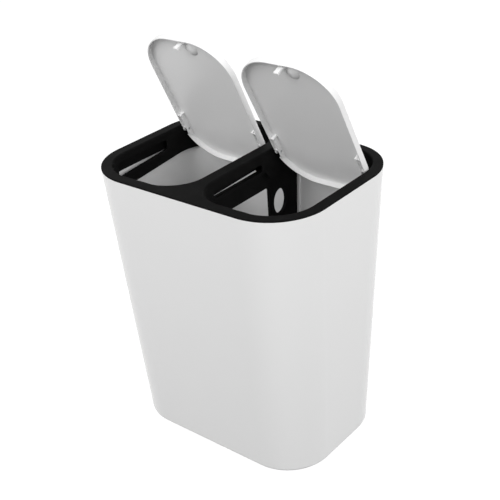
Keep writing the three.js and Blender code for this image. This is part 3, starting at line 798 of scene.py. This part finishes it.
def latch_post(sizes, panel):
    """The stem that presses into the latch, its barbed head and its gusset."""
    xs = (POST_X - POST_HALF, POST_X + POST_HALF)
    tip = z_at(POST_DEPTH)
    stem = block(xs, POST, (tip, panel + ROOTED), sizes.small_edge)
    head = block(xs, (POST[0] - POST_BARB, POST[1] + POST_BARB),
                 (tip + POST_TIP, tip + POST_HEAD), sizes.small_edge)
    front, rear = POST[0] + GUSSET_INSET, POST[1] - GUSSET_INSET
    gusset = slab(
        [(xs[1] - BEYOND, front, panel + ROOTED), (xs[1] + GUSSET, front, panel + ROOTED),
         (xs[1], front, z_at(GUSSET_DEPTH)), (xs[1] - BEYOND, front, z_at(GUSSET_DEPTH))],
        (0, rear - front, 0))
    return stem, head, gusset


def open_lid(bm, side):
    """Moves a lid drawn shut about X 0 to its own side and swings it open."""
    joint = JOINTS[f"{side}_lid_hinge"]
    hinge = Vector(joint["pos_m"])
    swing = Matrix.Rotation(-math.radians(joint["range_deg"][1]), 4, "X")
    aside = Matrix.Translation((hinge.x, 0, 0))
    bm.transform(Matrix.Translation(hinge) @ swing @ Matrix.Translation(-hinge) @ aside)
    return bm


# ---------------------------------------------------------------- the latches

def latch_x(side):
    """The middle of a latch across the bin."""
    return SIDES[side] * LID_CENTRE + POST_X


def latch_housing(side, sizes):
    """The open box that the claw slides in."""
    x = latch_x(side)
    top, sole = z_at(LATCH_DEPTHS[0]), z_at(LATCH_DEPTHS[1])
    outside = block((x - LATCH_HALF, x + LATCH_HALF), LATCH_ENDS, (sole, top), sizes.small_edge)
    half = LATCH_HALF - LATCH_WALL
    return cut(outside, block(
        (x - half, x + half), (LATCH_ENDS[0] + LATCH_WALL, LATCH_ENDS[1] - LATCH_WALL),
        (sole + LATCH_SOLE, top + BEYOND)))


def latch_claw(side, sizes):
    """The sliding block with the slot that takes the lid's post."""
    x = latch_x(side)
    half = LATCH_HALF - LATCH_WALL - CLAW_GAP
    ends = (LATCH_ENDS[0] + LATCH_WALL + CLAW_GAP, LATCH_ENDS[1] - LATCH_WALL - CLAW_GAP)
    body = block((x - half, x + half), ends, [z_at(depth) for depth in CLAW_DEPTHS],
                 sizes.small_edge)
    return cut(body, block(
        (x - CLAW_SLOT_HALF, x + CLAW_SLOT_HALF), (ends[0] - BEYOND, ends[1] + BEYOND),
        (z_at(CLAW_SLOT_DEPTH), z_at(CLAW_DEPTHS[0]) + BEYOND)))


# ---------------------------------------------------------------- the stage

def seen_directly(nodes, links):
    """Light Path's mask of the rays that see a plain white background."""
    path = nodes.new("ShaderNodeLightPath")
    mask = path.outputs["Is Camera Ray"]
    for ray in ("Is Glossy Ray", "Is Transmission Ray"):
        either = nodes.new("ShaderNodeMath")
        either.operation = "MAXIMUM"
        links.new(mask, either.inputs[0])
        links.new(path.outputs[ray], either.inputs[1])
        mask = either.outputs["Value"]
    return mask


def white_room(ambient):
    """A world that lights evenly and shows as white."""
    world = bpy.data.worlds.new("white room")
    world.use_nodes = True
    nodes, links = world.node_tree.nodes, world.node_tree.links
    lighting = nodes["Background"]
    lighting.inputs["Color"].default_value = (1, 1, 1, 1)
    lighting.inputs["Strength"].default_value = ambient
    shown = nodes.new("ShaderNodeBackground")
    shown.inputs["Color"].default_value = (1, 1, 1, 1)
    shown.inputs["Strength"].default_value = 1
    mix = nodes.new("ShaderNodeMixShader")
    links.new(seen_directly(nodes, links), mix.inputs[0])
    links.new(lighting.outputs[0], mix.inputs[1])
    links.new(shown.outputs[0], mix.inputs[2])
    links.new(mix.outputs[0], nodes["World Output"].inputs["Surface"])
    bpy.context.scene.world = world


def floor_material(bounce):
    """A pale floor that shows as white, with only a faint shadow on it."""
    material = bpy.data.materials.new("pale floor")
    material.use_nodes = True
    nodes, links = material.node_tree.nodes, material.node_tree.links
    nodes.remove(nodes["Principled BSDF"])
    sent_back = nodes.new("ShaderNodeBsdfDiffuse")
    sent_back.inputs["Color"].default_value = (bounce, bounce, bounce, 1)
    white = nodes.new("ShaderNodeEmission")
    white.inputs["Color"].default_value = (1, 1, 1, 1)
    white.inputs["Strength"].default_value = FLOOR_GLOW
    shadow = nodes.new("ShaderNodeBsdfDiffuse")
    shadow.inputs["Color"].default_value = (FLOOR_SHADOW, FLOOR_SHADOW, FLOOR_SHADOW, 1)
    shown = nodes.new("ShaderNodeAddShader")
    links.new(white.outputs[0], shown.inputs[0])
    links.new(shadow.outputs[0], shown.inputs[1])
    mix = nodes.new("ShaderNodeMixShader")
    links.new(seen_directly(nodes, links), mix.inputs[0])
    links.new(sent_back.outputs[0], mix.inputs[1])
    links.new(shown.outputs[0], mix.inputs[2])
    links.new(mix.outputs[0], nodes["Material Output"].inputs["Surface"])
    return material


def softbox(name, place, power):
    """A large square lamp that faces the bin."""
    lamp = bpy.data.lights.new(name, "AREA")
    lamp.size, lamp.energy = LAMP_SIZE, power
    obj = bpy.data.objects.new(name, lamp)
    obj.location = place
    facing = Vector(LAMP_TARGET) - Vector(place)
    obj.rotation_euler = facing.to_track_quat("-Z", "Y").to_euler()
    bpy.context.scene.collection.objects.link(obj)


def aim_camera():
    """The camera, at the angle that the bin is seen from."""
    camera = bpy.data.objects.new("camera", bpy.data.cameras.new("camera"))
    camera.data.lens, camera.data.sensor_width = CAMERA_LENS, CAMERA_SENSOR
    camera.data.clip_start, camera.data.clip_end = CAMERA_RANGE
    camera.matrix_world = (
        Matrix.Translation(CAMERA_PLACE)
        @ Matrix.Rotation(CAMERA_AZIMUTH, 4, "Z")
        @ Matrix.Rotation(math.pi / 2 - CAMERA_ELEVATION, 4, "X")
        @ Matrix.Rotation(CAMERA_ROLL, 4, "Z"))
    bpy.context.scene.collection.objects.link(camera)
    bpy.context.scene.camera = camera


# ---------------------------------------------------------------- the operators

class BIN_OT_outer_bin(Operator):
    """Make the tapered outer bin with its rails"""
    bl_idname = "bin.outer_bin"
    bl_label = "Outer bin"

    def execute(self, context):
        dress("outer_bin_moulding", outer_bin_moulding(context.scene.bin_sizes), gloss_white(),
              "bin", "white_plastic", "outer_bin")
        return {"FINISHED"}


class BIN_OT_divider(Operator):
    """Make the divider panel with its window and hand holes"""
    bl_idname = "bin.divider"
    bl_label = "Divider panel"

    def execute(self, context):
        dress("divider_moulding", divider_moulding(context.scene.bin_sizes), satin_black(),
              "divider", "black_plastic", "divider_panel")
        return {"FINISHED"}


class BIN_OT_rim_frame(Operator):
    """Make the rim frame with its mouths, skirts and bag slots"""
    bl_idname = "bin.rim_frame"
    bl_label = "Rim frame"

    def execute(self, context):
        dress("rim_frame_moulding", rim_frame_moulding(context.scene.bin_sizes), satin_black(),
              "frame", "black_plastic", "rim_frame")
        return {"FINISHED"}


class BIN_OT_lids(Operator):
    """Make both lids, open on their hinges"""
    bl_idname = "bin.lids"
    bl_label = "Lids"

    def execute(self, context):
        for side in SIDES:
            dress(f"{side}_lid_moulding", open_lid(lid_moulding(context.scene.bin_sizes), side),
                  lid_white(), f"{side}_lid", "lid_plastic", f"{side}_lid")
        return {"FINISHED"}


class BIN_OT_latches(Operator):
    """Make the push latches: a housing and a sliding claw for each lid"""
    bl_idname = "bin.latches"
    bl_label = "Push latches"

    def execute(self, context):
        sizes = context.scene.bin_sizes
        for side in SIDES:
            dress(f"{side}_latch_box", latch_housing(side, sizes), satin_black(),
                  "frame", "black_plastic", f"{side}_latch_housing")
            dress(f"{side}_latch_slider", latch_claw(side, sizes), natural_plastic(),
                  f"{side}_claw", "latch_plastic", f"{side}_latch_claw")
        return {"FINISHED"}


class BIN_OT_hinge_steel(Operator):
    """Finish the steel pins, shafts and springs of the frame"""
    bl_idname = "bin.hinge_steel"
    bl_label = "Pins and springs"

    def execute(self, context):
        steel = drawn_steel()
        for side in SIDES:
            for part in ("lid_outer_pin", "lid_spring_shaft", "lid_torsion_spring", "latch_spring"):
                node = frame["nodes"][f"{side}_{part}"]
                for place in node.material_slots:
                    place.material = steel
        return {"FINISHED"}


class BIN_OT_stage(Operator):
    """Set the floor, the soft light and the camera"""
    bl_idname = "bin.stage"
    bl_label = "Stage"

    def execute(self, context):
        stage = context.scene.bin_stage
        bm = bmesh.new()
        bmesh.ops.create_grid(bm, x_segments=2, y_segments=2, size=stage.floor_size / 2)
        mesh = bpy.data.meshes.new("floor")
        bm.to_mesh(mesh)
        bm.free()
        mesh.materials.append(floor_material(stage.floor_bounce))
        floor = bpy.data.objects.new("floor", mesh)
        floor.location.z = -FLOOR_DROP
        context.scene.collection.objects.link(floor)
        white_room(stage.ambient)
        softbox("side softbox", SIDE_LAMP, stage.side_power)
        softbox("front softbox", FRONT_LAMP, stage.front_power)
        aim_camera()
        context.scene.view_settings.view_transform = "Standard"
        return {"FINISHED"}


class BIN_PT_pieces(Panel):
    """Sizes, colours and the pieces of the recycling bin"""
    bl_idname = "BIN_PT_pieces"
    bl_label = "Double Recycling Bin"
    bl_space_type = "VIEW_3D"
    bl_region_type = "UI"
    bl_category = "Bin"

    def draw(self, context):
        layout = self.layout
        for settings in (context.scene.bin_sizes, context.scene.bin_colours, context.scene.bin_stage):
            box = layout.box()
            for label in settings.bl_rna.properties.keys():
                if label not in {"rna_type", "name"}:
                    box.prop(settings, label)
        for operator in PIECES:
            layout.operator(operator.bl_idname)


SETTINGS = {"bin_sizes": BinSizes, "bin_colours": BinColours, "bin_stage": BinStage}
PIECES = (BIN_OT_stage, BIN_OT_outer_bin, BIN_OT_divider, BIN_OT_rim_frame, BIN_OT_lids,
          BIN_OT_latches, BIN_OT_hinge_steel)
CLASSES = (*SETTINGS.values(), *PIECES, BIN_PT_pieces)


def register():
    for cls in CLASSES:
        bpy.utils.register_class(cls)
    for name, cls in SETTINGS.items():
        setattr(bpy.types.Scene, name, PointerProperty(type=cls))


def unregister():
    for name in SETTINGS:
        delattr(bpy.types.Scene, name)
    for cls in reversed(CLASSES):
        bpy.utils.unregister_class(cls)


def main():
    register()
    bpy.ops.bin.stage()
    bpy.ops.bin.outer_bin()
    bpy.ops.bin.divider()
    bpy.ops.bin.rim_frame()
    bpy.ops.bin.lids()
    bpy.ops.bin.latches()
    bpy.ops.bin.hinge_steel()


if __name__ == "__main__":
    main()
